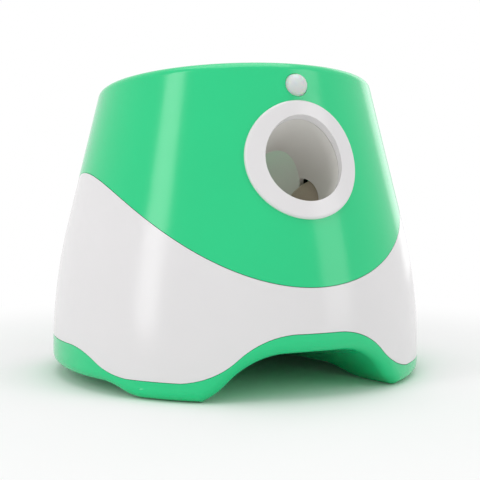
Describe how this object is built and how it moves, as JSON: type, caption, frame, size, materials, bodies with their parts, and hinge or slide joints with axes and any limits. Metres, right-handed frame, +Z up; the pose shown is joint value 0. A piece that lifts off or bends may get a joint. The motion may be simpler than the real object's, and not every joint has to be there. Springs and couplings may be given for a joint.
{
  "type": "automatic ball launcher",
  "caption": "Round bell-shaped machine that throws small balls for dogs: hopper bowl on top, sloping barrel with spinning wheels, wavy base tray on rubber feet.",
  "frame": {"origin": "middle of the base on the floor, between the four rubber feet", "axes": "+Z up, the muzzle looks towards -Y, +X to the right of someone who stands in front of the machine and faces the muzzle"},
  "size_m": [0.3, 0.2993, 0.2373],
  "materials": {
    "green_abs": "glossy injection moulded ABS",
    "white_abs": "glossy injection moulded ABS",
    "grey_abs": "satin moulded ABS",
    "lens": "translucent polyethylene",
    "rubber": "matt moulded rubber",
    "tyre": "ground elastomer",
    "hub": "moulded nylon",
    "steel": "ground steel",
    "zinc": "zinc plated steel",
    "black_plastic": "moulded nylon",
    "board": "glass epoxy board",
    "contact": "nickel plated brass",
    "light": "diffused clear acrylic",
    "panel": "glossy ABS",
    "relay": "moulded PBT",
    "capacitor": "sleeved aluminium"
  },
  "bodies": {
    "housing": {"base_tray": "green_abs", "rubber_feet": "rubber", "lower_shell": "white_abs", "upper_shell": "green_abs", "hopper_bowl": "green_abs", "launch_barrel": "grey_abs", "muzzle_bezel": "white_abs", "sensor_lens": "lens", "sensor_board": "board", "sensor_can": "zinc", "left_motor_can": "zinc", "right_motor_can": "zinc", "left_motor_cap": "black_plastic", "right_motor_cap": "black_plastic", "motor_screws": "steel", "button_panel": "panel", "indicator_lights": "light", "button_switches": "black_plastic", "button_board": "board", "supply_socket": "black_plastic", "battery_box": "black_plastic", "battery_plates": "contact", "battery_springs": "contact", "door_pins": "steel", "control_board": "board", "board_screws": "steel", "motor_relays": "relay", "board_capacitors": "capacitor", "board_plugs": "white_abs", "control_chip": "black_plastic", "buzzer": "black_plastic", "ball_eyes": "black_plastic"},
    "left_wheel": {"left_wheel_tyre": "tyre", "left_wheel_hub": "hub", "left_wheel_nut": "zinc", "left_motor_shaft": "steel"},
    "right_wheel": {"right_wheel_tyre": "tyre", "right_wheel_hub": "hub", "right_wheel_nut": "zinc", "right_motor_shaft": "steel"},
    "power_button": {"power_button": "panel"},
    "distance_button": {"distance_button": "panel"},
    "battery_door": {"battery_door": "green_abs"}
  },
  "joints": [
    {"name": "left_wheel_spin", "type": "hinge", "parent": "housing", "child": "left_wheel", "pos_m": [-0.056, -0.06629, 0.13031], "axis": [0, -0.5299, -0.848], "continuous": true},
    {"name": "right_wheel_spin", "type": "hinge", "parent": "housing", "child": "right_wheel", "pos_m": [0.056, -0.06629, 0.13031], "axis": [0, 0.5299, 0.848], "continuous": true},
    {"name": "power_button_push", "type": "slide", "parent": "housing", "child": "power_button", "axis": [0, -0.9703, -0.2419], "range_m": [0, 0.0015], "stiffness_N_per_m": 500},
    {"name": "distance_button_push", "type": "slide", "parent": "housing", "child": "distance_button", "axis": [0, -0.9703, -0.2419], "range_m": [0, 0.0015], "stiffness_N_per_m": 500},
    {"name": "battery_door_hinge", "type": "hinge", "parent": "housing", "child": "battery_door", "pos_m": [0, 0.01685, 0.0101], "axis": [-1, 0, 0], "range_deg": [0, 95]}
  ]
}
